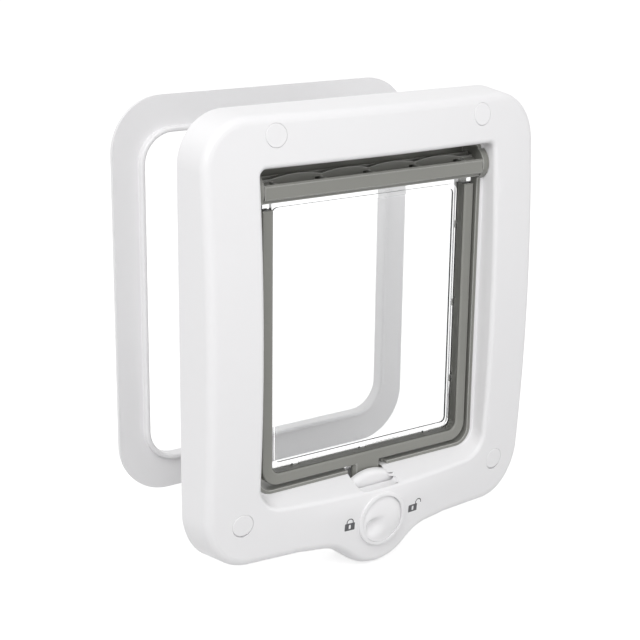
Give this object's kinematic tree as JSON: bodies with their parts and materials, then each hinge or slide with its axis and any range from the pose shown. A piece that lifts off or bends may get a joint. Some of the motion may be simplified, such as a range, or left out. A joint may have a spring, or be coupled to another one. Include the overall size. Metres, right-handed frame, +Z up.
{
  "type": "cat flap",
  "caption": "Framed door flap for a cat, with a clear swinging panel, a grey hinge bar, a rotary lock below it and a separate ring for the far side of the door.",
  "frame": {"origin": "centre of the tunnel opening, on the plane where the front frame meets the door", "axes": "+Y into the door, away from the room; +X to the right seen from the room; +Z up"},
  "size_m": [0.213, 0.1147, 0.2524],
  "materials": {
    "white_plastic": "satin moulded plastic",
    "grey_plastic": "matte moulded plastic",
    "clear_plastic": "clear moulded plastic",
    "steel": "zinc-plated steel",
    "magnet": "sintered magnet"
  },
  "bodies": {
    "root": {"front_frame": "white_plastic", "rear_frame": "white_plastic", "opening_liner": "grey_plastic", "cap_top_left": "white_plastic", "cap_top_right": "white_plastic", "cap_bottom_left": "white_plastic", "cap_bottom_right": "white_plastic", "screw_top_left": "steel", "screw_top_right": "steel", "screw_bottom_left": "steel", "screw_bottom_right": "steel", "sill_magnet": "magnet"},
    "flap": {"flap_head": "grey_plastic", "flap_panel": "clear_plastic", "flap_edge_frame": "grey_plastic", "hinge_pin_left": "steel", "hinge_pin_right": "steel", "flap_magnet": "magnet"},
    "lock": {"lock_knob": "white_plastic", "lock_rotor": "white_plastic", "lock_washer": "steel", "lock_screw": "steel"}
  },
  "joints": [
    {"name": "flap_hinge", "type": "hinge", "parent": "root", "child": "flap", "pos_m": [0, -0.012, 0.077], "axis": [1, 0, 0], "range_deg": [-80, 80]},
    {"name": "lock_turn", "type": "hinge", "parent": "root", "child": "lock", "pos_m": [0, 0, -0.1076], "axis": [0, 1, 0], "range_deg": [0, 180]}
  ]
}
